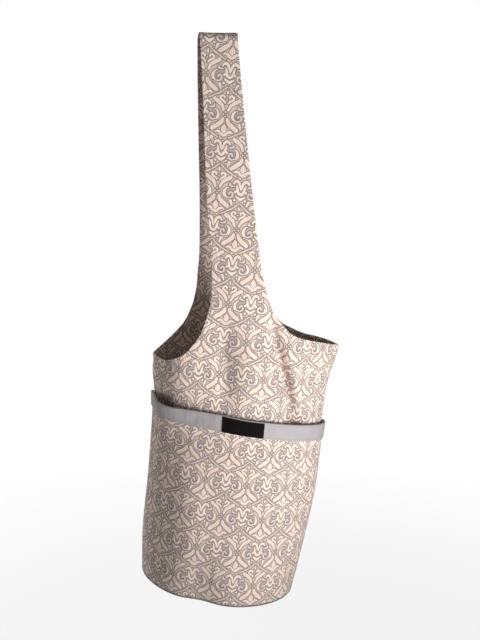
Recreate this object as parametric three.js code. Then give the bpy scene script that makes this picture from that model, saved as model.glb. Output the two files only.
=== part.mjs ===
// A sling tote bag as it hangs from one hook: a front and a back panel of printed cloth that each run up
// into half of the shoulder strap, a round base, and a pocket over the whole front with a taped edge and
// a label. Millimetres, +Z up. The front faces -Y, and the origin is the hang point, inside the fold at the
// strap's top.
import * as THREE from 'three';

// Driving dimensions
const CLOTH = 1.6; // wall of the printed cloth
const GAP = 0.3; // clearance between pieces that are sewn to each other
const FOLD_INSIDE = 9; // radius inside the strap's top fold
const BASE_LEVEL = -752; // where the walls are sewn to the base
const CORNER_LEVEL = -426; // underarm corners, where the side seams end
const RIM_SAG = 60; // how far the row between the corners dips at its middle, clear of the rim
const MOUTH_LEVEL = -510; // top edge of the pocket
const POCKET_SLACK = 2.2; // how far the pocket's mouth stands off the bag
const TAPE_WIDTH = 20; // outer leg of the folded tape
const TAPE_INNER_LEG = 9;
const TAPE_WALL = 0.9;
const LABEL_WALL = 0.7;
const LABEL_SPAN = 13; // degrees of the front that the label covers each way
const BASE_WALL = 2;
const BASE_SAG = 3; // how far the base's middle hangs below its seam
const BASE_FLAT = 0.5; // share of the base's radius that lies flat
const BASE_SHOULDER = { share: 0.8, sag: 0.4 }; // where the base turns up to its seam, as shares

// Mesh density
const COLUMNS = 20; // across each panel
const BODY_ROWS = 13;
const ROWS_PER_EDGE = 2; // rows between two lines of an edge table
const FOLD_ROWS = 4;
const POCKET_ROWS = 9;
const LABEL_COLUMNS = 6;

// Cross-sections of the bag, base to strap top: height and sideways place of the centre, clockwise roll in
// degrees seen from the front, half width, depth of the front and back, and how pointed the left and right
// seams are (below 1 is boxy, 1 an ellipse, 2 a lens). Above the corners the panels are cut narrower than the
// section.
const SECTIONS = [
  { z: BASE_LEVEL, x: -2.5, roll: 8, half: 109, front: 107, back: 108, left: 1, right: 1 },
  { z: -700, x: 5.5, roll: 9, half: 113, front: 101, back: 104, left: 0.95, right: 1 },
  { z: -610, x: 18.5, roll: 9.5, half: 118, front: 86, back: 92, left: 0.85, right: 1 },
  { z: MOUTH_LEVEL, x: 28, roll: 10, half: 119.5, front: 72, back: 82, left: 0.8, right: 1.05 },
  { z: -465, x: 33, roll: 5, half: 125, front: 70, back: 78, left: 0.85, right: 1.3 },
  { z: CORNER_LEVEL, x: 39, roll: -1.7, half: 129.5, front: 68, back: 74, left: 1.1, right: 1.7 },
  { z: -350, x: 27, roll: -3, half: 130, front: 60, back: 64, left: 1.4, right: 2 },
  { z: -219, x: 15, roll: -3.5, half: 130, front: 37, back: 40, left: 2, right: 2 },
  { z: -62, x: 4, roll: -3.5, half: 130, front: 15, back: 17, left: 2, right: 2 },
  { z: -FOLD_INSIDE, x: 0.5, roll: 0, half: 130, front: 9.8, back: 9.8, left: 2, right: 2 },
];

// Free edges of each panel from the underarm corner, along the rim and up the strap, seen from the front,
// with the height of the row's middle.
const FRONT_EDGES = [
  { leftX: -90.4, leftZ: -429.8, rightX: 168.4, rightZ: -422.2, midZ: CORNER_LEVEL - RIM_SAG },
  { leftX: -76, leftZ: -434.5, rightX: 152, rightZ: -418, midZ: -442 },
  { leftX: -60, leftZ: -429, rightX: 132, rightZ: -412, midZ: -422 },
  { leftX: -46, leftZ: -420, rightX: 112, rightZ: -406, midZ: -403 },
  { leftX: -34, leftZ: -406, rightX: 96, rightZ: -399, midZ: -386 },
  { leftX: -25, leftZ: -391, rightX: 84, rightZ: -387, midZ: -370 },
  { leftX: -18, leftZ: -371, rightX: 70, rightZ: -369, midZ: -352 },
  { leftX: -13, leftZ: -350, rightX: 61, rightZ: -345, midZ: -330 },
  { leftX: -11, leftZ: -317, rightX: 54, rightZ: -315, midZ: -308 },
  { leftX: -12.5, leftZ: -284, rightX: 50, rightZ: -284, midZ: -280 },
  { leftX: -16.4, leftZ: -219, rightX: 44, rightZ: -219, midZ: -217 },
  { leftX: -19, leftZ: -140, rightX: 37, rightZ: -140, midZ: -139 },
  { leftX: -21.6, leftZ: -61, rightX: 30, rightZ: -61, midZ: -61 },
  { leftX: -26, leftZ: -9, rightX: 25.7, rightZ: -9, midZ: -9 },
];
const BACK_EDGES = [
  { leftX: -90.4, leftZ: -429.8, rightX: 168.4, rightZ: -422.2, midZ: CORNER_LEVEL - RIM_SAG },
  { leftX: -79, leftZ: -423, rightX: 157, rightZ: -418, midZ: -442 },
  { leftX: -68, leftZ: -415, rightX: 142, rightZ: -414.5, midZ: -422 },
  { leftX: -57, leftZ: -405, rightX: 125, rightZ: -411, midZ: -403 },
  { leftX: -47, leftZ: -395, rightX: 110, rightZ: -405, midZ: -386 },
  { leftX: -39, leftZ: -381, rightX: 95, rightZ: -397, midZ: -370 },
  { leftX: -32, leftZ: -364, rightX: 79, rightZ: -378, midZ: -352 },
  { leftX: -27, leftZ: -340, rightX: 66, rightZ: -350, midZ: -330 },
  { leftX: -25.5, leftZ: -320, rightX: 57, rightZ: -318, midZ: -308 },
  { leftX: -24.4, leftZ: -290, rightX: 50, rightZ: -284, midZ: -280 },
  { leftX: -24, leftZ: -219, rightX: 43, rightZ: -219, midZ: -217 },
  { leftX: -25.5, leftZ: -140, rightX: 36, rightZ: -140, midZ: -139 },
  { leftX: -26.5, leftZ: -57, rightX: 29, rightZ: -61, midZ: -59 },
  { leftX: -26, leftZ: -9, rightX: 25.7, rightZ: -9, midZ: -9 },
];

// Folds of each panel: a line seen from the front, the fold's half width and its depth, inward or, below
// zero, outward as a ridge.
const FRONT_FOLDS = [
  { fromX: 14, fromZ: -310, toX: 21, toZ: -520, width: 11, depth: 4.5 },
  { fromX: 70, fromZ: -380, toX: 90, toZ: -440, width: 9, depth: 6 },
  { fromX: 86, fromZ: -425, toX: 104, toZ: -525, width: 10, depth: 7 },
  { fromX: -28, fromZ: -390, toX: -30, toZ: -520, width: 20, depth: -4 },
  { fromX: 52, fromZ: -360, toX: 58, toZ: -520, width: 17, depth: -3 },
  { fromX: -47, fromZ: -500, toX: -52, toZ: -752, width: 24, depth: -5 },
];
const BACK_FOLDS = [
  { fromX: 0, fromZ: -330, toX: -8, toZ: -540, width: 13, depth: 5 },
  { fromX: 74, fromZ: -390, toX: 96, toZ: -560, width: 14, depth: 6 },
  { fromX: 36, fromZ: -400, toX: 42, toZ: -600, width: 22, depth: -4 },
];
// Where the pocket's mouth gapes: the place round the front, in degrees, its half width and depth.
const GAPE = { at: -56, width: 16, depth: 10 };

const FRONT = { side: -1, edges: FRONT_EDGES, folds: FRONT_FOLDS, depth: 'front' };
const BACK = { side: 1, edges: BACK_EDGES, folds: BACK_FOLDS, depth: 'back' };

const PRINTED_CLOTH = { color: 0xc6b4ab, roughness: 0.9, metalness: 0 };
const GREY_CLOTH = { color: 0x8a8484, roughness: 0.9, metalness: 0 };
const GREY_TAPE = { color: 0xb4adad, roughness: 0.75, metalness: 0 };
const BLACK_LABEL = { color: 0x141010, roughness: 0.6, metalness: 0 };

const bell = (x) => Math.exp(-x * x);
const range = (count) => Array.from({ length: count + 1 }, (_, index) => index / count);
const across = range(COLUMNS).map((share) => THREE.MathUtils.degToRad(180 * share - 90));

// One column of a table at a key, by a cubic whose slope at each row is the chord of its neighbours.
function between(table, keys, column, key) {
  const last = table.length - 1;
  let row = 0;
  while (row < last - 1 && key > keys[row + 1]) row += 1;
  const slope = (at) => {
    const low = Math.max(at - 1, 0);
    const high = Math.min(at + 1, last);
    return (table[high][column] - table[low][column]) / (keys[high] - keys[low]);
  };
  const span = keys[row + 1] - keys[row];
  const t = THREE.MathUtils.clamp((key - keys[row]) / span, 0, 1);
  const rise = t * t * (3 - 2 * t);
  return table[row][column] * (1 - rise) + table[row + 1][column] * rise
    + span * t * (1 - t) * ((1 - t) * slope(row) - t * slope(row + 1));
}

const sectionHeights = SECTIONS.map((section) => section.z);
const sectionAt = (column, level) => between(SECTIONS, sectionHeights, column, level);
const rollAt = (level) => THREE.MathUtils.degToRad(sectionAt('roll', level));

// How far a panel's folds push its cloth inward at a place seen from the front. Each fold fades towards
// its ends.
function foldDepth(folds, x, z) {
  let depth = 0;
  for (const fold of folds) {
    const along = new THREE.Vector2(fold.toX - fold.fromX, fold.toZ - fold.fromZ);
    const place = new THREE.Vector2(x - fold.fromX, z - fold.fromZ);
    const share = THREE.MathUtils.clamp(place.dot(along) / along.lengthSq(), 0, 1);
    const off = place.cross(along) / along.length();
    depth += fold.depth * Math.sin(Math.PI * share) ** 2 * bell(off / fold.width);
  }
  return depth;
}

// A point on the middle of a panel's cloth. The level is the height of the section's centre, and past the
// strap's straight part it runs on round the top fold. The angle is -90 degrees at the left seam and 90 at
// the right.
function panelPoint(panel, level, angle) {
  const radius = FOLD_INSIDE + CLOTH / 2;
  const bend = Math.max((level + FOLD_INSIDE) / radius, 0);
  const straight = Math.min(level, -FOLD_INSIDE);
  const half = sectionAt('half', straight);
  const roll = rollAt(straight);
  const x = sectionAt('x', straight) + half * Math.sin(angle) * Math.cos(roll);
  const z = straight + radius * Math.sin(bend) - half * Math.sin(angle) * Math.sin(roll);
  const round = Math.cos(angle);
  const bow = Math.sign(round) * Math.abs(round) ** sectionAt(angle < 0 ? 'left' : 'right', straight);
  const deep = sectionAt(panel.depth, straight) * Math.cos(bend);
  return new THREE.Vector3(x, panel.side * (deep * bow - foldDepth(panel.folds, x, z) * round), z);
}

// The same point moved off the cloth's middle, outward, and kept on its own side of the side seams.
function offsetPoint(panel, level, angle, offset) {
  const step = 0.01;
  const sideways = panelPoint(panel, level, angle + step).sub(panelPoint(panel, level, angle - step));
  const upward = panelPoint(panel, level + step, angle).sub(panelPoint(panel, level - step, angle));
  const outward = sideways.cross(upward).normalize().multiplyScalar(-panel.side);
  const point = panelPoint(panel, level, angle).addScaledVector(outward, offset);
  point.y = panel.side * Math.max(panel.side * point.y, GAP / 2);
  return point;
}

// The section level and the angle of a place seen from the front.
function locate(x, z) {
  let level = z;
  for (let pass = 0; pass < 25; pass += 1) level = z + (x - sectionAt('x', level)) * Math.tan(rollAt(level));
  const share = (x - sectionAt('x', level)) / (sectionAt('half', level) * Math.cos(rollAt(level)));
  return { level, angle: Math.asin(THREE.MathUtils.clamp(share, -1, 1)) };
}

// Rows of places on a panel, base to strap top: sections that dip more and more up to the corners, then rows
// between the two free edges that turn from dipping to arching, then the rows of the top fold.
function panelRows(panel) {
  const rows = range(BODY_ROWS).map((share) => {
    const level = THREE.MathUtils.lerp(BASE_LEVEL, CORNER_LEVEL, share);
    return across.map((angle) => ({ level: level - RIM_SAG * share ** 2 * Math.cos(angle), angle }));
  });
  const keys = panel.edges.map((_, index) => index);
  const steps = (panel.edges.length - 1) * ROWS_PER_EDGE;
  for (let step = 1; step <= steps; step += 1) {
    const edge = (column) => between(panel.edges, keys, column, step / ROWS_PER_EDGE);
    const middleX = (edge('leftX') + edge('rightX')) / 2;
    const middleZ = (edge('leftZ') + edge('rightZ')) / 2;
    const arch = edge('midZ') - middleZ;
    const easing = arch < 0 ? 1.3 : 2; // a dipping row leaves its edges steeply, an arching one slowly
    rows.push(across.map((angle) => {
      const x = middleX + (edge('rightX') - middleX) * Math.sin(angle);
      const z = middleZ + (edge('rightZ') - middleZ) * Math.sin(angle);
      return locate(x, z + arch * Math.cos(angle) ** easing);
    }));
  }
  const foldLength = (FOLD_INSIDE + CLOTH / 2) * Math.PI / 2;
  const strapTop = rows.at(-1);
  for (const share of range(FOLD_ROWS).slice(1)) {
    rows.push(strapTop.map(({ angle }) => ({ level: -FOLD_INSIDE + foldLength * share, angle })));
  }
  return rows;
}

function solidGeometry(points, index) {
  const geometry = new THREE.BufferGeometry();
  const positions = points.flatMap((point) => point.toArray());
  geometry.setAttribute('position', new THREE.Float32BufferAttribute(positions, 3));
  geometry.setIndex(index);
  geometry.computeVertexNormals();
  return geometry;
}

// A closed body between an outer and an inner grid of points, whose rows go up and columns to the right when
// seen from the front. A panel of the back is turned over.
function wallGeometry(outer, inner, turned) {
  const rows = outer.length;
  const columns = outer[0].length;
  const index = [];
  const quad = (a, b, c, d) => index.push(...(turned ? [a, c, b, a, d, c] : [a, b, c, a, c, d]));
  const at = (row, column) => row * columns + column;
  const under = (row, column) => rows * columns + at(row, column);
  for (let row = 0; row < rows - 1; row += 1) {
    for (let column = 0; column < columns - 1; column += 1) {
      quad(at(row, column), at(row, column + 1), at(row + 1, column + 1), at(row + 1, column));
      quad(under(row, column), under(row + 1, column), under(row + 1, column + 1), under(row, column + 1));
    }
    const end = columns - 1;
    quad(at(row, 0), at(row + 1, 0), under(row + 1, 0), under(row, 0));
    quad(at(row, end), under(row, end), under(row + 1, end), at(row + 1, end));
  }
  for (let column = 0; column < columns - 1; column += 1) {
    const end = rows - 1;
    quad(at(0, column), under(0, column), under(0, column + 1), at(0, column + 1));
    quad(at(end, column), at(end, column + 1), under(end, column + 1), under(end, column));
  }
  return solidGeometry([...outer.flat(), ...inner.flat()], index);
}

function piece(name, geometry, finish) {
  const mesh = new THREE.Mesh(geometry, new THREE.MeshStandardMaterial(finish));
  mesh.name = name;
  return mesh;
}

function panelPiece(name, panel) {
  const rows = panelRows(panel);
  const layer = (offset) => rows.map((row) => row.map(
    ({ level, angle }) => offsetPoint(panel, level, angle, offset),
  ));
  const wall = wallGeometry(layer(CLOTH / 2), layer(-CLOTH / 2), panel.side > 0);
  return piece(name, wall, PRINTED_CLOTH);
}

// How far the middle of the pocket's cloth stands off the middle of the front panel's.
function pocketOffset(level, angle) {
  const share = THREE.MathUtils.clamp((level - BASE_LEVEL) / (MOUTH_LEVEL - BASE_LEVEL), 0, 1);
  const gape = GAPE.depth * bell((THREE.MathUtils.radToDeg(angle) - GAPE.at) / GAPE.width);
  const freedom = THREE.MathUtils.clamp(2 * Math.cos(angle), 0, 1); // the side seams hold the pocket close
  return CLOTH + GAP + POCKET_SLACK * share ** 2 + gape * freedom * share ** 4;
}

// A layer over the front panel, given the levels of its rows, its columns' angles, and its two faces.
function frontLayer(levels, angles, outerOffset, innerOffset) {
  const grid = (offset) => levels.map((level) => angles.map(
    (angle) => offsetPoint(FRONT, level, angle, offset(level, angle)),
  ));
  return wallGeometry(grid(outerOffset), grid(innerOffset), false);
}

function pocketPiece() {
  const tapeFoot = MOUTH_LEVEL - TAPE_WIDTH;
  const levels = range(POCKET_ROWS).map((share) => THREE.MathUtils.lerp(BASE_LEVEL, tapeFoot, share));
  levels.push(MOUTH_LEVEL - TAPE_INNER_LEG, MOUTH_LEVEL);
  const outer = (level, angle) => pocketOffset(level, angle) + CLOTH / 2;
  const inner = (level, angle) => pocketOffset(level, angle) - CLOTH / 2;
  return piece('pocket', frontLayer(levels, across, outer, inner), PRINTED_CLOTH);
}

const tapeInside = CLOTH / 2 + GAP; // from the middle of the pocket's cloth to the tape
const tapeOutside = tapeInside + TAPE_WALL;

// The tape folded over the pocket's edge: a U-shaped section carried across the front.
function pocketBandPiece() {
  const top = MOUTH_LEVEL + GAP;
  const foot = MOUTH_LEVEL - TAPE_WIDTH;
  const innerFoot = MOUTH_LEVEL - TAPE_INNER_LEG;
  const profile = [
    { offset: tapeOutside, level: foot },
    { offset: tapeOutside, level: innerFoot },
    { offset: tapeOutside, level: top },
    { offset: tapeInside, level: top + TAPE_WALL },
    { offset: -tapeInside, level: top + TAPE_WALL },
    { offset: -tapeOutside, level: top },
    { offset: -tapeOutside, level: innerFoot },
    { offset: -tapeInside, level: innerFoot },
    { offset: -tapeInside, level: top },
    { offset: tapeInside, level: top },
    { offset: tapeInside, level: innerFoot },
    { offset: tapeInside, level: foot },
  ];
  const rings = across.map((angle) => profile.map(
    ({ offset, level }) => offsetPoint(FRONT, level, angle, pocketOffset(level, angle) + offset),
  ));
  const count = profile.length;
  const index = [];
  for (let ring = 0; ring < rings.length - 1; ring += 1) {
    for (let corner = 0; corner < count; corner += 1) {
      const next = (corner + 1) % count;
      const [a, b] = [ring * count + corner, ring * count + next];
      index.push(a, a + count, b + count, a, b + count, b);
    }
  }
  const outline = profile.map(({ offset, level }) => new THREE.Vector2(offset, level));
  const lastRing = (rings.length - 1) * count;
  for (const [a, b, c] of THREE.ShapeUtils.triangulateShape(outline, [])) {
    index.push(a, b, c);
    index.push(lastRing + a, lastRing + c, lastRing + b);
  }
  return piece('pocket_band', solidGeometry(rings.flat(), index), GREY_TAPE);
}

function labelPiece() {
  const limit = THREE.MathUtils.degToRad(LABEL_SPAN);
  const angles = range(LABEL_COLUMNS).map((share) => limit * (2 * share - 1));
  const levels = [MOUTH_LEVEL - TAPE_WIDTH, MOUTH_LEVEL - TAPE_INNER_LEG, MOUTH_LEVEL];
  const inner = (level, angle) => pocketOffset(level, angle) + tapeOutside + GAP;
  const outer = (level, angle) => inner(level, angle) + LABEL_WALL;
  return piece('label', frontLayer(levels, angles, outer, inner), BLACK_LABEL);
}

// The round base, sewn under the walls: its edge follows the outside of the pocket and the back panel, and
// its middle hangs a little lower and is flat.
function basePiece() {
  const roll = rollAt(BASE_LEVEL);
  const axis = new THREE.Vector3(Math.sin(roll), 0, Math.cos(roll));
  const centre = new THREE.Vector3(sectionAt('x', BASE_LEVEL), 0, BASE_LEVEL);
  const frontReach = pocketOffset(BASE_LEVEL, 0) + CLOTH / 2;
  const frontEdge = across.map((angle) => offsetPoint(FRONT, BASE_LEVEL, angle, frontReach));
  const backEdge = across.map((angle) => offsetPoint(BACK, BASE_LEVEL, angle, CLOTH / 2)).reverse();
  const edge = [...frontEdge, ...backEdge];
  const place = (point, share, drop) => {
    const offset = point.clone().sub(centre);
    offset.addScaledVector(axis, -offset.dot(axis));
    return offset.multiplyScalar(share).addScaledVector(axis, -drop).add(centre);
  };
  const points = [];
  const ring = (share, drop) => {
    points.push(...edge.map((point) => place(point, share, drop)));
    return points.length - edge.length;
  };
  const index = [];
  const strip = (from, to) => edge.forEach((_, here) => {
    const next = (here + 1) % edge.length;
    index.push(from + here, to + here, to + next, from + here, to + next, from + next);
  });
  // The three rings of one face, edge to flat middle, and the fan that closes it.
  const face = (depth) => {
    const seam = ring(1, depth);
    const shoulder = ring(BASE_SHOULDER.share, depth + BASE_SHOULDER.sag * BASE_SAG);
    const flat = ring(BASE_FLAT, depth + BASE_SAG);
    points.push(place(centre, 0, depth + BASE_SAG));
    return { seam, shoulder, flat, middle: points.length - 1 };
  };
  const upper = face(GAP);
  const lower = face(GAP + BASE_WALL);
  strip(upper.flat, upper.shoulder);
  strip(upper.shoulder, upper.seam);
  strip(upper.seam, lower.seam);
  strip(lower.seam, lower.shoulder);
  strip(lower.shoulder, lower.flat);
  edge.forEach((_, here) => {
    const next = (here + 1) % edge.length;
    index.push(upper.flat + here, upper.flat + next, upper.middle);
    index.push(lower.flat + next, lower.flat + here, lower.middle);
  });
  return piece('base', solidGeometry(points, index), GREY_CLOTH);
}

const bag = new THREE.Group();
bag.add(
  panelPiece('front_panel', FRONT),
  panelPiece('back_panel', BACK),
  basePiece(),
  pocketPiece(),
  pocketBandPiece(),
  labelPiece(),
);

export default bag;
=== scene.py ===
import bpy
import numpy as np
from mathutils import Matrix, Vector


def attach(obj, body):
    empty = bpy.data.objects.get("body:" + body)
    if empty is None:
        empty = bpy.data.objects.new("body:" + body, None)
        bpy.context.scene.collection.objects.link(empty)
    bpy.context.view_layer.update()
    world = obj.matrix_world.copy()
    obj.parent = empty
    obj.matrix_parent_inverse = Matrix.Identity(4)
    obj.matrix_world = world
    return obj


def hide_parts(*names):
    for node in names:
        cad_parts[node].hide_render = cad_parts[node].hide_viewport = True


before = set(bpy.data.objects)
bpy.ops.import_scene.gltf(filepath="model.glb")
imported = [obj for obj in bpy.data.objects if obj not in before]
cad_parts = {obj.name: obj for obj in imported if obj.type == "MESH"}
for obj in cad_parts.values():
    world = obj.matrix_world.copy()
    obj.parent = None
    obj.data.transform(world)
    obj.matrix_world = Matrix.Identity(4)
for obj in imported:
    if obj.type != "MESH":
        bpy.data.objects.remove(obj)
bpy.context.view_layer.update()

# Front panel
# One piece of heavy printed cotton, cut in one with the front half of the shoulder strap. It is sewn to the
# back panel down both sides and at the strap's top, and its rim and strap edges are turned in and stitched.
CLOTH = 0.0016
SEAM_GAP = 0.0003
FOLD_LEVEL = -0.009
FOLD_RADIUS = 0.0098
BASE_LEVEL = -0.752
CORNER_LEVEL = -0.426
TOP_SEAM = (-0.0248, 0.0248)
PANEL_COLUMNS = 96
BODY_ROWS = 110
ROWS_PER_EDGE = 10
FOLD_ROWS = 14
ROUND_POINTS = 4
MM = 0.001

# Height, sideways place, clockwise roll in degrees, half width, front depth, back depth, and how pointed the
# left and right seams are.
SECTION_COLUMNS = ("level", "across", "roll", "half", "front", "back", "left_point", "right_point")
SECTIONS = np.array([
    (-752, -3, 8, 106.5, 106, 107, 1, 1),
    (-700, 4, 9, 112.3, 101, 104, 1, 1),
    (-610, 18.5, 9.5, 117.3, 86, 92, 1.05, 1),
    (-510, 28, 10, 119.5, 72, 82, 1.6, 1.05),
    (-465, 31, 5, 123, 70, 78, 1.5, 1.3),
    (-426, 39, -1.7, 129.5, 68, 74, 1.4, 1.7),
    (-350, 27, -3, 130, 60, 64, 1.4, 2),
    (-219, 15, -3.5, 130, 37, 40, 2, 2),
    (-62, 4, -3.5, 130, 15, 17, 2, 2),
    (-9, 0.5, 0, 130, 9.8, 9.8, 2, 2),
]) * (MM, MM, np.pi / 180, MM, MM, MM, 1, 1)

# Row, left edge across and up, right edge across and up, and the height of the row's middle.
FRONT_EDGES = np.array([
    (0, -90.4, -429.8, 168.4, -422.2, -486),
    (1, -76, -434.5, 152, -418, -442),
    (2, -60, -429, 132, -412, -422),
    (3, -46, -420, 112, -406, -403),
    (4, -34, -406, 96, -399, -386),
    (5, -25, -391, 84, -387, -370),
    (6, -18, -371, 70, -369, -352),
    (7, -13, -350, 61, -345, -330),
    (8, -11, -317, 54, -315, -308),
    (9, -12.5, -284, 50, -284, -280),
    (10, -16.4, -219, 43.3, -219, -217),
    (11, -18.6, -140, 35.9, -140, -139),
    (12, -20.6, -61, 29.2, -61, -61),
    (13, -22.8, -9, 25.3, -9, -9),
]) * (1, MM, MM, MM, MM, MM)

# A fold's line from and to, its half width, and how deep it goes in, or out where it is below zero.
FRONT_FOLDS = np.array([
    (2, -335, 5, -545, 9, 3),
    (3, -345, 3, -540, 28, 6),
    (-76, -345, -70, -540, 36, -25),
    (30, -350, 34, -530, 14, -3),
    (-47, -460, -52, -800, 24, -8),
    (-44, -640, -24, -864, 25, 11),
    (58, -345, 112, -575, 8.5, 22),
    (-84, -462, -62, -548, 10, 32),
]) * MM

FRONT_PRINT = {"width": 0.0629, "turn": 7, "start": (0.0024, -0.1591), "narrowing": 0.21}
FRONT = {"side": -1, "depth": "front", "edges": FRONT_EDGES, "folds": FRONT_FOLDS, "print": FRONT_PRINT}


def along_table(table, at):
    """Every column of a table at any values of its first: a cubic between two rows, with the chord of the
    neighbouring rows as its slope at each row."""
    keys = table[:, 0]
    row = np.arange(len(keys))
    low, high = np.maximum(row - 1, 0), np.minimum(row + 1, len(keys) - 1)
    slopes = (table[high] - table[low]) / (keys[high] - keys[low])[:, None]
    first = np.clip(np.searchsorted(keys, at) - 1, 0, len(keys) - 2)
    span = (keys[first + 1] - keys[first])[..., None]
    t = np.clip((at - keys[first])[..., None] / span, 0, 1)
    rise = t * t * (3 - 2 * t)
    straight = table[first] * (1 - rise) + table[first + 1] * rise
    return straight + span * t * (1 - t) * ((1 - t) * slopes[first] - t * slopes[first + 1])


def section_at(level):
    """The section's columns by name at any level, each as an array of the level's shape."""
    columns = np.moveaxis(along_table(SECTIONS, np.minimum(level, FOLD_LEVEL)), -1, 0)
    return dict(zip(SECTION_COLUMNS, columns))


def pointedness(section, angle):
    """How pointed a section is on the side of each angle."""
    return np.where(angle < 0, section["left_point"], section["right_point"])


def fold_depth(folds, x, z):
    """How far folds push the cloth in: a bell across each fold's line, times a sine square along it."""
    depth = np.zeros_like(x)
    for from_x, from_z, to_x, to_z, width, deep in folds:
        run_x, run_z = to_x - from_x, to_z - from_z
        length = np.hypot(run_x, run_z)
        share = np.clip(((x - from_x) * run_x + (z - from_z) * run_z) / length**2, 0, 1)
        off = ((x - from_x) * run_z - (z - from_z) * run_x) / length
        depth += deep * np.sin(np.pi * share) ** 2 * np.exp(-((off / width) ** 2))
    return depth


def panel_middle(panel, level, angle):
    """The middle of a panel's cloth: across by the sine of the angle, deep by a power of its cosine, rolled
    in the section's plane, pushed in by the folds, and bent round a half circle past the strap's straight
    part."""
    section = section_at(level)
    roll, aside = section["roll"], section["half"] * np.sin(angle)
    bend = np.maximum((level - FOLD_LEVEL) / FOLD_RADIUS, 0)
    x = section["across"] + aside * np.cos(roll)
    z = np.minimum(level, FOLD_LEVEL) + FOLD_RADIUS * np.sin(bend) - aside * np.sin(roll)
    cosine = np.cos(angle)
    bow = np.sign(cosine) * np.abs(cosine) ** pointedness(section, angle)
    deep = section[panel["depth"]] * np.cos(bend)
    y = panel["side"] * (deep * bow - fold_depth(panel["folds"], x, z) * cosine)
    return np.stack([x, y, z], axis=-1)


def unit(vectors):
    """Vectors brought to length one."""
    return vectors / np.maximum(np.linalg.norm(vectors, axis=-1, keepdims=True), 1e-12)


def panel_outward(panel, level, angle):
    """The outward normal of a panel: the cross product of small steps across and up."""
    step = 0.004
    rise = 0.00002
    across = panel_middle(panel, level, angle + step) - panel_middle(panel, level, angle - step)
    up = panel_middle(panel, level + rise, angle) - panel_middle(panel, level - rise, angle)
    return -panel["side"] * unit(np.cross(across, up))


DIP_POWER = 1.3
ARCH_POWER = 2
LEVEL_STEPS = 25


def panel_places(panel):
    """Levels and angles of a panel's rows, base to strap top: sections that dip more and more up to the row
    between the corners, rows between the two free edges that turn from dipping to arching, and rows round the
    top fold. A level is found from its height in a few steps, because the roll there depends on the level."""
    angle = np.radians(np.linspace(-90, 90, PANEL_COLUMNS + 1))
    last_edge = panel["edges"][-1, 0]
    steps = np.arange(last_edge * ROWS_PER_EDGE + 1) / ROWS_PER_EDGE
    _, left_x, left_z, right_x, right_z, mid_z = along_table(panel["edges"], steps).T[:, :, None]
    arch = mid_z - (left_z + right_z) / 2
    power = np.where(arch < 0, DIP_POWER, ARCH_POWER)
    sine = np.sin(angle)
    x = (left_x + right_x) / 2 + (right_x - left_x) / 2 * sine
    z = (left_z + right_z) / 2 + (right_z - left_z) / 2 * sine
    z = z + arch * np.maximum(np.cos(angle), 0) ** power
    level = z
    for _ in range(LEVEL_STEPS):
        section = section_at(level)
        level = z + (x - section["across"]) * np.tan(section["roll"])
    section = section_at(level)
    reach = section["half"] * np.cos(section["roll"])
    upper_angle = np.arcsin(np.clip((x - section["across"]) / reach, -1, 1))
    share = np.linspace(0, 1, BODY_ROWS + 1)[:-1, None]
    body = BASE_LEVEL + (CORNER_LEVEL - BASE_LEVEL) * share + (level[0] - CORNER_LEVEL) * share**2
    body_angle = angle + (upper_angle[0] - angle) * share**2
    fold_share = np.linspace(0, 1, FOLD_ROWS + 1)[1:, None]
    fold = FOLD_LEVEL + FOLD_RADIUS * np.pi / 2 * fold_share
    fold = np.broadcast_to(fold, (FOLD_ROWS, len(angle)))
    seam_angle = np.arcsin(np.interp(sine, [-1, 1], TOP_SEAM) / section["half"][-1])
    fold_angle = upper_angle[-1] + (seam_angle - upper_angle[-1]) * fold_share**2 * (3 - 2 * fold_share)
    return np.concatenate([body, level, fold]), np.concatenate([body_angle, upper_angle, fold_angle])


ARC_SAMPLES = 24


def flat_place(panel, level, angle):
    """Where a place lies on the cloth laid flat: each section is rolled out to its arc length, along the
    section's roll."""
    share = (np.arange(ARC_SAMPLES) + 0.5) / ARC_SAMPLES
    section = section_at(level)
    point = pointedness(section, angle)[..., None]
    swing = angle[..., None] * share
    across = section["half"][..., None] * np.cos(swing)
    inward = section[panel["depth"]][..., None] * point * np.cos(swing) ** (point - 1) * np.sin(swing)
    arc = angle * np.hypot(across, inward).mean(axis=-1)
    return section["across"] + arc * np.cos(section["roll"]), level - arc * np.sin(section["roll"])


def print_place(flat, width, turn, start, narrowing):
    """Places on the print, in widths of its repeat: across, and down from the tip of a palmette at start. The
    repeat narrows evenly down the cloth, so the way down is a logarithm."""
    turn = np.radians(turn)
    x, z = flat[0] - start[0], flat[1] - start[1]
    across = x * np.cos(turn) - z * np.sin(turn)
    down = -x * np.sin(turn) - z * np.cos(turn)
    share = 1 - narrowing * down
    return np.stack([across / share, -np.log(share) / narrowing], axis=-1) / width


def free_edge(middle, first_row):
    """How far each point is from the nearer free edge, which is the outer columns from the corner row up."""
    edge = np.concatenate([middle[first_row:, 0], middle[first_row:, -1]])
    points = middle.reshape(-1, 3)
    square = (points**2).sum(1)[:, None] + (edge**2).sum(1) - 2 * points @ edge.T
    return np.sqrt(np.maximum(square, 0).min(axis=1)).reshape(middle.shape[:2])


def round_end(middle, outward, half, column, inner_column):
    """Points round a row's end, outer face to inner: a half circle about the end of the cloth's middle."""
    tip = middle[:, column]
    normal = outward[:, column]
    away = tip - middle[:, inner_column]
    away = unit(away - normal * (away * normal).sum(-1, keepdims=True))
    turn = np.linspace(0, np.pi, ROUND_POINTS + 2)[1:-1][None, :, None]
    swing = np.cos(turn) * normal[:, None] + np.sin(turn) * away[:, None]
    return tip[:, None] + half[:, column][:, None, None] * swing


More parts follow.
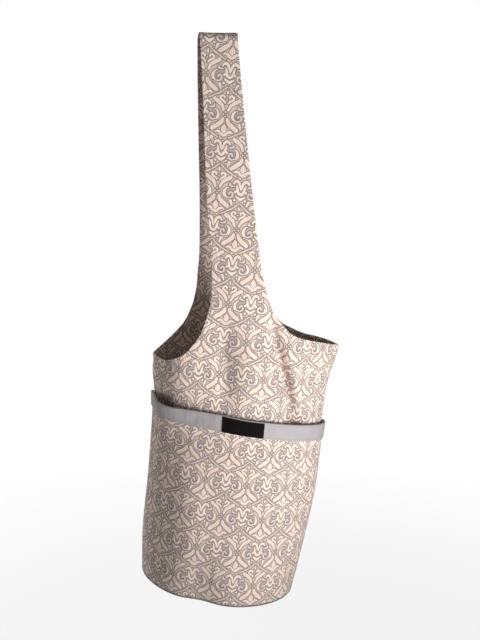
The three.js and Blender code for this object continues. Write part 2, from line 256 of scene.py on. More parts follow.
def cloth_shell(middle, outward, half, places, side):
    """A closed wall about a grid of cloth. Each row is a loop: the outer face, a round end, the inner face
    back, and a round end. Loops are joined by quads, and the first and last are closed by strips."""
    rows, columns = middle.shape[:2]
    outer = middle + outward * half[..., None]
    inner = middle - outward * half[..., None]
    right = round_end(middle, outward, half, -1, -2)
    left = round_end(middle, outward, half, 0, 1)[:, ::-1]
    points = np.concatenate([outer, right, inner[:, ::-1], left], axis=1)
    points[..., 1] = side * np.maximum(side * points[..., 1], SEAM_GAP / 2)
    right_place = np.repeat(places[:, -1:], ROUND_POINTS, axis=1)
    left_place = np.repeat(places[:, :1], ROUND_POINTS, axis=1)
    places = np.concatenate([places, right_place, places[:, ::-1], left_place], axis=1)
    loop = points.shape[1]
    here = np.arange(loop)
    ahead = (here + 1) % loop
    base = np.arange(rows - 1)[:, None] * loop
    quads = np.stack([base + here, base + ahead, base + loop + ahead, base + loop + here], axis=-1)
    outer_at = np.arange(columns)
    inner_at = 2 * columns + ROUND_POINTS - 1 - outer_at
    strip = np.stack([outer_at[:-1], inner_at[:-1], inner_at[1:], outer_at[1:]], axis=-1)
    right_cap = np.arange(columns - 1, columns + ROUND_POINTS + 1)
    left_cap = np.append(np.arange(2 * columns + ROUND_POINTS - 1, loop), 0)
    last = (rows - 1) * loop
    faces = quads.reshape(-1, 4).tolist() + strip.tolist() + (strip[:, ::-1] + last).tolist()
    faces += [right_cap[::-1].tolist(), left_cap[::-1].tolist()]
    faces += [(right_cap + last).tolist(), (left_cap + last).tolist()]
    if side > 0:
        faces = [face[::-1] for face in faces]
    return points.reshape(-1, 3), faces, places.reshape(-1, 2)


def piece(name, points, faces, material, places=None):
    """A smooth-shaded mesh object at the origin, with its places on the print as a UV map."""
    mesh = bpy.data.meshes.new(name)
    mesh.from_pydata(np.asarray(points).tolist(), [], faces)
    if places is not None:
        corner = np.zeros(len(mesh.loops), np.int32)
        mesh.loops.foreach_get("vertex_index", corner)
        mesh.uv_layers.new(name="print").data.foreach_set("uv", places[corner].astype(np.float32).ravel())
    mesh.shade_smooth()
    mesh.materials.append(material)
    made = bpy.data.objects.new(name, mesh)
    bpy.context.scene.collection.objects.link(made)
    return made


class Value:
    """A socket of a material's nodes, or none as a start. Sums, products and the like add Math nodes."""

    def __init__(self, tree, socket=None):
        self.tree = tree
        self.socket = socket

    def node(self, kind, settings, inputs, output=0):
        """The output of a new node of any kind, made in this value's material: its settings are set first,
        then the values or links of its sockets, by place or name."""
        made = self.tree.nodes.new(kind)
        for name, setting in settings.items():
            setattr(made, name, setting)
        for name, given in inputs.items():
            if isinstance(given, Value):
                self.tree.links.new(given.socket, made.inputs[name])
            else:
                made.inputs[name].default_value = given
        return Value(self.tree, made.outputs[output])

    def maths(self, operation, *values, clamp=False):
        """A Math node's result, held between 0 and 1 where clamp is set."""
        settings = {"operation": operation, "use_clamp": clamp}
        return self.node("ShaderNodeMath", settings, dict(enumerate(values)))

    def vector(self, operation, *values, output=0):
        """A Vector Math node's result: output 0 is its vector, and 1 its number."""
        return self.node("ShaderNodeVectorMath", {"operation": operation}, dict(enumerate(values)), output)

    def scale(self, vector):
        """A vector or colour multiplied by this value."""
        return self.node("ShaderNodeVectorMath", {"operation": "SCALE"}, {0: vector, "Scale": self})

    def clamped(self):
        """This value held between 0 and 1."""
        return self.maths("ADD", self, 0, clamp=True)

    def __add__(self, other):
        return self.maths("ADD", self, other)

    def __radd__(self, other):
        return self.maths("ADD", other, self)

    def __sub__(self, other):
        return self.maths("SUBTRACT", self, other)

    def __rsub__(self, other):
        return self.maths("SUBTRACT", other, self)

    def __mul__(self, other):
        return self.maths("MULTIPLY", self, other)

    def __rmul__(self, other):
        return self.maths("MULTIPLY", other, self)

    def __truediv__(self, other):
        return self.maths("DIVIDE", self, other)

    def __rtruediv__(self, other):
        return self.maths("DIVIDE", other, self)

    def __abs__(self):
        return self.maths("ABSOLUTE", self)


def linear(red, green, blue):
    """A screen colour of 0 to 255 as the linear colour that a shader takes."""
    share = np.array([red, green, blue]) / 255
    light = np.where(share <= 0.04045, share / 12.92, ((share + 0.055) / 1.055) ** 2.4)
    return (*light.tolist(), 1)


def least(*values):
    """The smallest of several values."""
    found = values[0]
    for value in values[1:]:
        found = found.maths("MINIMUM", found, value)
    return found


def mixed(factor, first, second):
    """One colour turning into another by a factor."""
    return factor.node("ShaderNodeMix", {"data_type": "RGBA"}, {0: factor, 6: first, 7: second}, 2)


def off_strokes(place, spread, strokes, spots=()):
    """How far a place is from the nearest of several brush strokes and round spots, below zero inside one. A
    stroke's points each have a half width, and between two of them it is a straight capsule whose width
    changes evenly. All are wider by the ink's spread."""
    found = place.maths("ADD", 1, 0)
    for route in strokes:
        for (x0, y0, width0), (x1, y1, width1) in zip(route, route[1:]):
            run = np.array([x1 - x0, y1 - y0])
            slope = run / (run @ run)
            from_start = place.vector("SUBTRACT", place, (x0, y0, 0))
            share = place.vector("DOT_PRODUCT", from_start, (*slope, 0), output=1)
            share = share.maths("MINIMUM", share.maths("MAXIMUM", share, 0), 1)
            off = place.vector("DISTANCE", from_start, share.scale((*run, 0)), output=1)
            found = least(found, share.maths("MULTIPLY_ADD", share, width0 - width1, off) - width0)
    for x, y, radius in spots:
        found = least(found, place.vector("DISTANCE", place, (x, y, 0), output=1) - radius)
    return found - spread


def new_material(name):
    """A new material, its shader and its node tree."""
    material = bpy.data.materials.new(name)
    material.use_nodes = True
    tree = material.node_tree
    shader = next(node for node in tree.nodes if node.type == "BSDF_PRINCIPLED")
    return material, shader, tree


def map_place(tree):
    """A place on the piece's own map, and its two parts, across and down."""
    place = Value(tree).node("ShaderNodeUVMap", {"uv_map": "print"}, {})
    across = place.node("ShaderNodeSeparateXYZ", {}, {0: place}, 0)
    down = place.node("ShaderNodeSeparateXYZ", {}, {0: place}, 1)
    return place, across, down


def noise(place, scale, detail):
    """Noise over a place, finer with its scale."""
    return place.node("ShaderNodeTexNoise", {}, {"Vector": place, "Scale": scale, "Detail": detail})


def bumped(height, strength):
    """The normal of a surface that is raised by a height in metres."""
    return height.node("ShaderNodeBump", {}, {"Strength": strength, "Distance": 1, "Height": height})


def fill_sockets(tree, shader, sockets):
    """Fills a shader's sockets by name: a value is linked, and a number is set."""
    for name, given in sockets.items():
        if isinstance(given, Value):
            tree.links.new(given.socket, shader.inputs[name])
        else:
            shader.inputs[name].default_value = given


# The print's figures, charted in repeat widths over half a repeat: across from a palmette's axis, down from
# its tip, and the brush's half width there. The other half is its mirror image, and the next row is moved
# across by half a repeat.
REPEAT_RISE = 0.797
PRINT_CUT = 0.345
PEACH_STROKES = {
    "leaf beside the drop": [
        (0.452, 0.062, 0.026), (0.430, 0.128, 0.036), (0.365, 0.188, 0.040), (0.250, 0.268, 0.036)],
    "leaf over the scroll": [
        (0.243, -0.342, 0.034), (0.315, -0.296, 0.036), (0.405, -0.230, 0.028), (0.450, -0.130, 0.020)],
    "drop": [(0.5, 0.172, 0.004), (0.5, 0.235, 0.042), (0.5, 0.272, 0.056), (0.5, 0.310, 0.032)],
    "end of the next row's leaf": [(0.257, 0.455, 0.034), (0.185, 0.501, 0.036)],
    "cup": [
        (0.325, 0.338, 0.013), (0.362, 0.318, 0.020), (0.408, 0.328, 0.023), (0.445, 0.372, 0.025),
        (0.5, 0.400, 0.029)],
}
CREAM_STROKES = {
    "palmette's hooked arm": [(0.168, -0.222, 0.014), (0.142, -0.264, 0.024), (0.092, -0.283, 0.027),
                              (0.048, -0.245, 0.027), (0.026, -0.180, 0.023), (0, -0.112, 0.020)],
    "palmette's foot": [
        (0.100, -0.200, 0.008), (0.080, -0.135, 0.022), (0.068, -0.070, 0.026), (0.040, -0.016, 0.025),
        (0, 0.004, 0.027)],
    "palmette's wing": [(0.085, -0.075, 0.016), (0.122, -0.042, 0.022)],
    "chevron": [(0.095, 0.042, 0.014), (0.045, 0.078, 0.024), (0, 0.104, 0.030)],
    "scroll's back": [
        (0.262, -0.135, 0.005), (0.312, -0.112, 0.015), (0.345, -0.055, 0.026), (0.350, 0.005, 0.030),
        (0.334, 0.042, 0.028), (0.302, 0.068, 0.010)],
    "heart's eye": [
        (0.062, 0.432, 0.010), (0.050, 0.398, 0.018), (0.092, 0.372, 0.020), (0.137, 0.394, 0.021),
        (0.144, 0.432, 0.021), (0.110, 0.463, 0.021), (0.060, 0.489, 0.020), (0.033, 0.527, 0.016)],
    "heart's foot": [
        (0.356, -0.365, 0.021), (0.390, -0.334, 0.021), (0.440, -0.308, 0.020), (0.467, -0.270, 0.016)],
    "bud": [(0, 0.266, 0.007), (0, 0.318, 0.022)],
    "sprig": [(0.188, 0.150, 0.028), (0.172, 0.200, 0.022), (0.157, 0.246, 0.012)],
}
CREAM_DOTS = [(0.112, 0.122, 0.024), (0, -0.293, 0.016), (0, 0.440, 0.014), (0.5, -0.357, 0.014)]
LILAC_STROKES = {
    "spiral": [(0.238, 0.000, 0.021), (0.216, -0.043, 0.014), (0.178, -0.028, 0.016), (0.160, 0.018, 0.018),
               (0.178, 0.065, 0.016), (0.230, 0.088, 0.016), (0.296, 0.072, 0.012)],
    "scroll's cap": [
        (0.148, -0.162, 0.010), (0.200, -0.166, 0.016), (0.245, -0.183, 0.022), (0.244, -0.240, 0.006)],
    "roof": [(0.015, 0.192, 0.010), (0.055, 0.232, 0.013), (0.105, 0.280, 0.014), (0.155, 0.318, 0.015),
             (0.305, 0.402, 0.014), (0.385, 0.440, 0.012)],
    "end of the last row's roof": [(0.195, -0.395, 0.014), (0.115, -0.357, 0.012)],
    "thread under the scroll": [(0.210, 0.142, 0.008), (0.275, 0.126, 0.009), (0.335, 0.100, 0.007)],
}
LILAC_DOTS = [(0.118, 0.186, 0.017), (0.5, -0.086, 0.018), (0.455, -0.040, 0.018), (0.5, 0.008, 0.018)]
SCROLL_GROUND = (0.215, -0.045, 0.110)
PEACH = linear(242, 217, 203)
PEACH_RIM = linear(247, 230, 218)
CREAM = linear(244, 226, 213)
LILAC = linear(226, 211, 205)
TAUPE = linear(216, 197, 187)
TAUPE_DARK = linear(116, 95, 87)
TAUPE_COOL = linear(186, 171, 167)

# The widths of the print's edges, in repeat widths, how many of its widths an outline reaches, the angle that
# the weave's wave turns through in one repeat, and the heights of weave, slubs and crumple in metres.
INK_EDGE = 0.012
INK_CREEP = 0.009
PEACH_SPREAD = 0.006
FINE_SPREAD = 0.003
PEACH_RIM_WIDTH = 0.013
SCROLL_GROUND_EDGE = 0.03
OUTLINE_WIDTH = 0.021
OUTLINE_REACH = 1.25
WEAVE_TURN = 480
WEAVE_HEIGHT = 0.00006
SLUB_HEIGHT = 0.0001
CRUMPLE_HEIGHT = 0.0022


def printed_cotton():
    """Printed cotton. A place is folded into half a repeat by its row's move and the mirror, moved a little
    by noise as ink creeps, and its colour follows its distance from the strokes there. Under the print are a
    plain weave, slubs and a soft crumple."""
    material, shader, tree = new_material("printed_cotton")
    start, across, down = map_place(tree)
    row = across.maths("FLOOR", (down + PRINT_CUT) / REPEAT_RISE)
    y = down - row * REPEAT_RISE
    x = across + 0.5 * row.maths("FLOORED_MODULO", row, 2)
    x = abs(x - x.maths("ROUND", x))
    place = x.node("ShaderNodeCombineXYZ", {}, {0: x, 1: y, 2: 0})
    flat_noise = {"Vector": start, "Scale": 12, "Detail": 1}
    uneven = start.node("ShaderNodeTexNoise", {"noise_dimensions": "2D"}, flat_noise, 1)
    place = place.vector("MULTIPLY_ADD", uneven, (2 * INK_CREEP, 2 * INK_CREEP, 0), place)
    place = place.vector("SUBTRACT", place, (INK_CREEP, INK_CREEP, 0))
    peach = off_strokes(place, PEACH_SPREAD, PEACH_STROKES.values())
    cream = off_strokes(place, FINE_SPREAD, CREAM_STROKES.values(), CREAM_DOTS)
    lilac = off_strokes(place, FINE_SPREAD, LILAC_STROKES.values(), LILAC_DOTS)

    def inside(off, edge=INK_EDGE):
        """1 inside a stroke and 0 outside it, with a soft edge."""
        return off.maths("SUBTRACT", 0.5, off / edge, clamp=True)

    outline = x.maths("SUBTRACT", OUTLINE_REACH, least(peach, cream, lilac) / OUTLINE_WIDTH, clamp=True)
    scroll_ground = inside(off_strokes(place, 0, [], [SCROLL_GROUND]), SCROLL_GROUND_EDGE)
    colour = mixed(outline, mixed(scroll_ground, TAUPE, TAUPE_COOL), TAUPE_DARK)
    colour = mixed(inside(lilac), colour, LILAC)
    colour = mixed(inside(cream), colour, CREAM)
    colour = mixed(inside(peach), colour, PEACH_RIM)
    colour = mixed(inside(peach + PEACH_RIM_WIDTH), colour, PEACH)
    weave = x.maths("SINE", across * WEAVE_TURN) * x.maths("SINE", down * WEAVE_TURN)
    slub = noise(start, scale=55, detail=4)
    crumple = noise(start, scale=3.5, detail=3)
    shade = 0.92 + 0.06 * weave + 0.16 * (slub - 0.42)
    height = weave * WEAVE_HEIGHT + slub * SLUB_HEIGHT + crumple * CRUMPLE_HEIGHT
    fill_sockets(tree, shader, {
        "Base Color": shade.scale(colour), "Normal": bumped(height, strength=0.7),
        "Roughness": 0.84 + 0.10 * slub, "Specular IOR Level": 0.25})
    return material


PRINTED = printed_cotton()
STITCH_INSET = 0.0065


def hem_line(grid, edge, mirrored):
    """The line of a panel's hem stitches over a grid of points or normals: in each row from the corner up,
    the first place that is as far from the free edge as the stitches are."""
    points, edge = grid[BODY_ROWS:], edge[BODY_ROWS:]
    if mirrored:
        points, edge = points[:, ::-1], edge[:, ::-1]
    rows = np.arange(len(edge))
    past = np.clip(np.argmax(edge > STITCH_INSET, axis=1), 1, None)
    near, far = edge[rows, past - 1], edge[rows, past]
    share = ((STITCH_INSET - near) / np.maximum(far - near, 1e-9))[:, None]
    return points[rows, past - 1] * (1 - share) + points[rows, past] * share


def along_line(line, reach, at):
    """Points of a line at distances from its start, where reach is the distance of each point that it has."""
    return np.stack([np.interp(at, reach, column) for column in line.T], axis=-1)


FULL_TURN = 2 * np.pi
STITCH_SIDES = 6
STITCH_RINGS = (0.14, 0.5, 0.86)
STITCH_RISE = 1.3
STITCH_SINK = 0.5


def stitches(lines, pitch, length, radius):
    """Stitches along lines of points: each is a spindle of rings between two tips, which rises from the cloth
    with a sine and goes back in. Returns points, faces and places along and round each thread."""
    tip = STITCH_SIDES * len(STITCH_RINGS)
    last_ring = tip - STITCH_SIDES
    share = np.append(np.repeat(STITCH_RINGS, STITCH_SIDES), [0, 1])
    turn = np.tile(np.arange(STITCH_SIDES) * FULL_TURN / STITCH_SIDES, len(STITCH_RINGS))
    turn = np.append(turn, [0, 0])
    swell = radius * np.sqrt(np.sin(np.pi * share))
    lift = radius * (STITCH_RISE * np.sin(np.pi * share) - STITCH_SINK) + swell * np.cos(turn)
    spindles = []
    for line, outward in lines:
        reach = np.append(0, np.cumsum(np.linalg.norm(np.diff(line, axis=0), axis=1)))
        at = np.arange(pitch, reach[-1] - pitch, pitch)
        start = along_line(line, reach, at)
        run = along_line(line, reach, at + length) - start
        normal = unit(along_line(outward, reach, at))
        aside = np.cross(unit(run), normal)
        spindle = start[:, None] + share[:, None] * run[:, None] + lift[:, None] * normal[:, None]
        spindles.append(spindle + (swell * np.sin(turn))[:, None] * aside[:, None])
    points = np.concatenate(spindles)
    here = np.arange(STITCH_SIDES)
    ahead = (here + 1) % STITCH_SIDES
    ring = np.arange(0, last_ring, STITCH_SIDES)[:, None]
    after = ring + STITCH_SIDES
    quads = np.stack([ring + here, ring + ahead, after + ahead, after + here], axis=-1)
    first_fan = np.stack([ahead, here, np.full(STITCH_SIDES, tip)], axis=1)
    last_fan = np.stack([last_ring + here, last_ring + ahead, np.full(STITCH_SIDES, tip + 1)], axis=1)
    stitch = np.arange(len(points))[:, None, None] * (tip + 2)
    quads = (quads.reshape(-1, 4) + stitch).reshape(-1, 4)
    fans = (np.concatenate([first_fan, last_fan]) + stitch).reshape(-1, 3)
    places = np.tile(np.stack([share, turn / FULL_TURN], axis=1), (len(points), 1))
    return points.reshape(-1, 3), quads.tolist() + fans.tolist(), places


THREAD_TWISTS = 4


def thread(name, light, dark):
    """Spun thread: two tones that wind along the stitch."""
    material, shader, tree = new_material(name)
    _, along, around = map_place(tree)
    twist = along.maths("SINE", (along * THREAD_TWISTS + around) * FULL_TURN)
    colour = mixed(0.5 + 0.5 * twist, dark, light)
    fill_sockets(tree, shader, {"Base Color": colour, "Roughness": 0.6, "Specular IOR Level": 0.3})
    return material


HEM_THREAD = thread("hem_thread", light=linear(214, 196, 186), dark=linear(176, 158, 149))
HEM_STITCH = {"pitch": 0.0034, "length": 0.0026, "radius": 0.0003}
HEM_WIDTH = 0.009
HEM_EXTRA = 0.0004
HEM_FADE = 0.002
STITCH_DENT = 0.0003
STITCH_DENT_WIDTH = 0.0012


def panel_pieces(panel, cloth_name, stitch_name):
    """A panel's cloth, thicker at the turned hems and drawn in along their stitches, and those stitches."""
    level, angle = panel_places(panel)
    middle = panel_middle(panel, level, angle)
    outward = panel_outward(panel, level, angle)
    edge = free_edge(middle, BODY_ROWS)
    hem = np.clip((HEM_WIDTH - edge) / HEM_FADE + 0.5, 0, 1)
    dent = np.exp(-(((edge - STITCH_INSET) / STITCH_DENT_WIDTH) ** 2))
    half = CLOTH / 2 + HEM_EXTRA * hem - STITCH_DENT * dent
    places = print_place(flat_place(panel, level, angle), **panel["print"])
    points, faces, places = cloth_shell(middle, outward, half, places, panel["side"])
    cloth = piece(cloth_name, points, faces, PRINTED, places)
    skin = middle + outward * half[..., None]
    lines = [[hem_line(grid, edge, mirrored) for grid in (skin, outward)] for mirrored in (False, True)]
    points, faces, places = stitches(lines, **HEM_STITCH)
    return cloth, piece(stitch_name, points, faces, HEM_THREAD, places)


front_cloth, front_stitches = panel_pieces(FRONT, "front_cloth", "front_stitches")
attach(front_cloth, "root")
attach(front_stitches, "root")
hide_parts("front_panel")

# Back panel
# The same cut as the front panel with the other half of the strap, printed alike. Its top end is sewn to the
# front's at the strap's fold, and it is turned in and stitched along its free edges.
BACK_EDGES = np.array([
    (0, -90.4, -429.8, 168.4, -422.2, -486),
    (1, -79, -423, 157, -418, -442),
    (2, -68, -415, 142, -414.5, -422),
    (3, -57, -405, 125, -411, -403),
    (4, -47, -395, 110, -405, -386),
    (5, -39, -381, 95, -397, -370),
    (6, -32, -364, 79, -378, -352),
    (7, -27, -340, 66, -350, -330),
    (8, -25.5, -320, 57, -318, -308),
    (9, -23, -290, 50, -284, -280),
    (10, -22.6, -219, 42.5, -219, -217),
    (11, -24, -140, 35, -140, -139),
    (12, -25.3, -57, 28.5, -61, -59),
    (13, -25.4, -9, 25.3, -9, -9),
]) * (1, MM, MM, MM, MM, MM)
BACK_FOLDS = np.array([
    (0, -330, -8, -540, 13, 5),
    (74, -390, 96, -560, 14, 6),
    (36, -400, 42, -600, 22, -4),
]) * MM
BACK_PRINT = {"width": 0.0629, "turn": 7, "start": (0.012, -0.120), "narrowing": 0.21}
BACK = {"side": 1, "depth": "back", "edges": BACK_EDGES, "folds": BACK_FOLDS, "print": BACK_PRINT}
back_cloth, back_stitches = panel_pieces(BACK, "back_cloth", "back_stitches")
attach(back_cloth, "root")
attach(back_stitches, "root")
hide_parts("back_panel")

# Pocket
# A single layer of the same cloth over the whole lower front, sewn into the base and side seams. Its top edge
# stands a little off the bag, and gapes at the left.
MOUTH_LEVEL = -0.510
MOUTH_RISE = 0.0065
RISE_FROM, RISE_OVER = np.radians(-46), np.radians(27)
POCKET_SLACK = 0.0034
TAPE_ROOM = 0.0012
TAPE_ROOM_FROM, TAPE_ROOM_OVER = 0.88, 0.08
GAPE_AT, GAPE_WIDTH, GAPE_DEPTH = np.radians(-56), np.radians(16), 0.010
POCKET_ROWS = 90

# The pocket spans the last two of the front's folds: one down from its right shoulder, and the dent behind
# the gape.
POCKET_FORM = {"side": -1, "depth": "front", "folds": FRONT_FOLDS[:-2]}


def mouth_rise(angle):
    """How much higher the pocket's top edge is sewn in towards the left seam: a smooth step."""
    share = np.clip((RISE_FROM - angle) / RISE_OVER, 0, 1)
    return MOUTH_RISE * share * share * (3 - 2 * share)


def pocket_offset(level, angle):
    """How far the middle of the pocket's cloth stands off the front's form: room for the tape's inner leg at
    the mouth, and slack that grows towards it, with a bell of extra depth at the gape, held close by the side
    seams."""
    share = np.clip((level - BASE_LEVEL) / (MOUTH_LEVEL + mouth_rise(angle) - BASE_LEVEL), 0, 1)
    gape = GAPE_DEPTH * np.exp(-(((angle - GAPE_AT) / GAPE_WIDTH) ** 2))
    freedom = np.clip(2 * np.cos(angle), 0, 1)
    room = TAPE_ROOM * np.clip((share - TAPE_ROOM_FROM) / TAPE_ROOM_OVER, 0, 1)
    return CLOTH + SEAM_GAP + room + (POCKET_SLACK * share**2 + gape * share**4) * freedom


def front_layer(levels, angles, offset):
    """The grid of a layer over the front and its normals, moved out along the normals of the front's form.
    Levels are for a straight top edge, and rise with the real one."""
    level, angle = np.meshgrid(levels, angles, indexing="ij")
    level = level + mouth_rise(angle) * np.clip((level - BASE_LEVEL) / (MOUTH_LEVEL - BASE_LEVEL), 0, 1)
    outward = panel_outward(POCKET_FORM, level, angle)
    middle = panel_middle(POCKET_FORM, level, angle) + outward * offset(level, angle)[..., None]
    return level, angle, middle, outward


across_front = np.radians(np.linspace(-90, 90, PANEL_COLUMNS + 1))
pocket_levels = np.linspace(BASE_LEVEL, MOUTH_LEVEL, POCKET_ROWS + 1)
level, angle, middle, outward = front_layer(pocket_levels, across_front, pocket_offset)
POCKET_PRINT = {"width": 0.05515, "turn": 8.75, "start": (0.0442, -0.6897), "narrowing": 0.001}
places = print_place(flat_place(FRONT, level, angle), **POCKET_PRINT)
points, faces, places = cloth_shell(middle, outward, np.full(level.shape, CLOTH / 2), places, -1)
pocket_cloth = piece("pocket_cloth", points, faces, PRINTED, places)
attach(pocket_cloth, "root")
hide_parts("pocket")

# Pocket tape
# Grey woven tape folded over the pocket's top edge. It is stitched through along both its edges, on either
# side of the label.
TAPE_WIDTH = 0.020
TAPE_INNER_LEG = 0.009
TAPE_WALL = 0.0009
TAPE_INSIDE = CLOTH / 2 + SEAM_GAP
TAPE_OUTSIDE = TAPE_INSIDE + TAPE_WALL
TAPE_CROWN = 0.001
TAPE_COLUMNS = 240
OUTER_ROWS, CROWN_ROWS, INNER_ROWS = 21, 7, 10
TAPE_STITCH_ROWS = (2, 18)
TAPE_STITCH = {"pitch": 0.0030, "length": 0.0023, "radius": 0.00028}
RIB_PITCH = 0.0012
PICK_PITCH = 0.0007
RIB_HEIGHT = 0.00005
PICK_HEIGHT = 0.00002
TAPE_DARK = linear(154, 147, 148)
TAPE_LIGHT = linear(177, 171, 172)
PUCKER = 0.00022
PUCKER_WAVES = (47, 19)
LABEL_SPAN = np.radians(13)


def woven_tape():
    """Grey tape with fine ribs across its length, a touch of noise, and a soft crumple."""
    material, shader, tree = new_material("woven_tape")
    place, across, down = map_place(tree)
    ribs = across.maths("SINE", across * (FULL_TURN / RIB_PITCH))
    picks = down.maths("SINE", down * (FULL_TURN / PICK_PITCH))
    speckle = noise(place, scale=90, detail=3)
    crumple = noise(place, scale=75, detail=2)
    shade = 0.5 + 0.12 * ribs + 0.05 * picks + 0.5 * (speckle - 0.5)
    height = ribs * RIB_HEIGHT + picks * PICK_HEIGHT + crumple * CRUMPLE_HEIGHT
    fill_sockets(tree, shader, {
        "Base Color": mixed(shade.clamped(), TAPE_DARK, TAPE_LIGHT), "Normal": bumped(height, strength=0.6),
        "Roughness": 0.62, "Specular IOR Level": 0.35})
    return material


# The tape's section from its outer edge up, over the pocket's edge and down inside: how far each row stands
# off the pocket's middle, and its level.
tape_mid = TAPE_INSIDE + TAPE_WALL / 2
fold_top = MOUTH_LEVEL + SEAM_GAP
outer_leg = np.linspace(MOUTH_LEVEL - TAPE_WIDTH, fold_top, OUTER_ROWS)
inner_leg = np.linspace(fold_top, MOUTH_LEVEL - TAPE_INNER_LEG, INNER_ROWS)
arc = np.linspace(0, np.pi, CROWN_ROWS + 2)[1:-1]
stand_off = [np.full(OUTER_ROWS, tape_mid), tape_mid * np.cos(arc), np.full(INNER_ROWS, -tape_mid)]
stand_off = np.concatenate(stand_off)[:, None]
level = np.concatenate([outer_leg, fold_top + TAPE_CROWN * np.sin(arc), inner_leg])[:, None]
angle = np.radians(np.linspace(-90, 90, TAPE_COLUMNS + 1))[None]
level = level + mouth_rise(angle)
angle = np.broadcast_to(angle, level.shape)
waves = np.sin(angle * PUCKER_WAVES[0]) * np.sin(angle * PUCKER_WAVES[1] + 1)
pucker = PUCKER * np.abs(waves) * (stand_off >= tape_mid)
offset = pocket_offset(level, angle) + stand_off + pucker
middle = panel_middle(POCKET_FORM, level, angle)
middle = middle + panel_outward(POCKET_FORM, level, angle) * offset[..., None]
outward = unit(np.cross(np.gradient(middle, axis=1), np.gradient(middle, axis=0)))
flat = flat_place(FRONT, level, angle)
wound = np.append(0, np.cumsum(np.hypot(np.diff(stand_off[:, 0]), np.diff(level[:, 0]))))
places = np.stack([flat[0], np.broadcast_to(wound[:, None], angle.shape)], axis=-1)
points, faces, places = cloth_shell(middle, outward, np.full(level.shape, TAPE_WALL / 2), places, -1)
pocket_tape = piece("pocket_tape", points, faces, woven_tape(), places)
skin = middle + outward * TAPE_WALL / 2
beside_label = [angle[0] < -LABEL_SPAN, angle[0] > LABEL_SPAN]
lines = [(skin[row, beside], outward[row, beside]) for row in TAPE_STITCH_ROWS for beside in beside_label]
points, faces, places = stitches(lines, **TAPE_STITCH)
tape_thread = thread("tape_thread", light=linear(176, 170, 171), dark=linear(140, 134, 136))
tape_stitches = piece("tape_stitches", points, faces, tape_thread, places)
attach(pocket_tape, "root")
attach(tape_stitches, "root")
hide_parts("pocket_band")

# Label
# A small label, close-woven in black thread and left bare. It lies flat on the tape's middle and is sewn
# down at its two ends.
LABEL_WALL = 0.0007
LABEL_ROWS = 24
LABEL_COLUMNS = 60
LABEL_STITCH = {"pitch": 0.0022, "length": 0.0017, "radius": 0.0002}
LABEL_STITCH_INSET = 2
LABEL_RIB_PITCH = 0.0005
LABEL_RIB_HEIGHT = 0.00003
LABEL_DARK = linear(9, 7, 7)
LABEL_LIGHT = linear(16, 12, 12)


def woven_label():
    """Close-woven black label: fine ribs both ways."""
    material, shader, tree = new_material("woven_label")
    _, across, down = map_place(tree)
    rib_turn = FULL_TURN / LABEL_RIB_PITCH
    ribs = across.maths("SINE", across * rib_turn) * down.maths("SINE", down * rib_turn)
    fill_sockets(tree, shader, {
        "Base Color": mixed(0.5 + 0.5 * ribs, LABEL_DARK, LABEL_LIGHT),
        "Normal": bumped(ribs * LABEL_RIB_HEIGHT, strength=0.5), "Roughness": 0.8, "Specular IOR Level": 0.1})
    return material


def label_offset(level, angle):
    """How far the middle of the label stands off the front's form: one gap outside the tape."""
    return pocket_offset(level, angle) + TAPE_OUTSIDE + SEAM_GAP + LABEL_WALL / 2


label_levels = np.linspace(MOUTH_LEVEL - TAPE_WIDTH, MOUTH_LEVEL, LABEL_ROWS + 1)
label_angles = np.linspace(-LABEL_SPAN, LABEL_SPAN, LABEL_COLUMNS + 1)
level, angle, middle, outward = front_layer(label_levels, label_angles, label_offset)
places = np.stack(flat_place(FRONT, level, angle), axis=-1)
points, faces, places = cloth_shell(middle, outward, np.full(level.shape, LABEL_WALL / 2), places, -1)
bare_label = piece("bare_label", points, faces, woven_label(), places)
skin = middle + outward * LABEL_WALL / 2
inset = slice(LABEL_STITCH_INSET, -LABEL_STITCH_INSET)
ends = (LABEL_STITCH_INSET, -LABEL_STITCH_INSET - 1)
lines = [(skin[inset, end], outward[inset, end]) for end in ends]
points, faces, places = stitches(lines, **LABEL_STITCH)
label_thread = thread("label_thread", light=linear(38, 34, 34), dark=linear(18, 15, 15))
label_stitches = piece("label_stitches", points, faces, label_thread, places)
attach(bare_label, "root")
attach(label_stitches, "root")
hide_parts("label")

# Base
# A round of plain grey cotton under the walls. It is sewn to both panels and the pocket round its rim, and
# its middle hangs a little lower.
BASE_WALL = 0.002
BASE_SAG = 0.003
BASE_WEAVE_PITCH = 0.0008
BASE_SLUB_HEIGHT = 0.00015
BASE_DARK = linear(112, 106, 107)
BASE_LIGHT = linear(146, 140, 141)
BASE_EDGE_POINTS = 5
RING_PLACES = np.array([0, 0.12, 0.25, 0.4, 0.5, 0.6, 0.7, 0.8, 0.88, 0.94, 0.98, 0.995])
SAG_PLACES, SAG_SHARES = (0, 0.5, 0.8, 1), (1, 1, 0.4, 0)


def plain_cotton():
    """Plain grey cotton: a fine weave with slubs."""
    material, shader, tree = new_material("plain_cotton")
    place = Value(tree).node("ShaderNodeTexCoord", {}, {}, "Object")
    across = place.node("ShaderNodeSeparateXYZ", {}, {0: place}, 0)
    along = place.node("ShaderNodeSeparateXYZ", {}, {0: place}, 1)
    weave_turn = FULL_TURN / BASE_WEAVE_PITCH
    weave = across.maths("SINE", across * weave_turn) * along.maths("SINE", along * weave_turn)
    slub = noise(place, scale=900, detail=3)
    shade = 0.25 * weave + slub
    height = weave * WEAVE_HEIGHT + slub * BASE_SLUB_HEIGHT
    fill_sockets(tree, shader, {
        "Base Color": mixed(shade.clamped(), BASE_DARK, BASE_LIGHT), "Normal": bumped(height, strength=0.6),
        "Roughness": 0.88, "Specular IOR Level": 0.25})
    return material


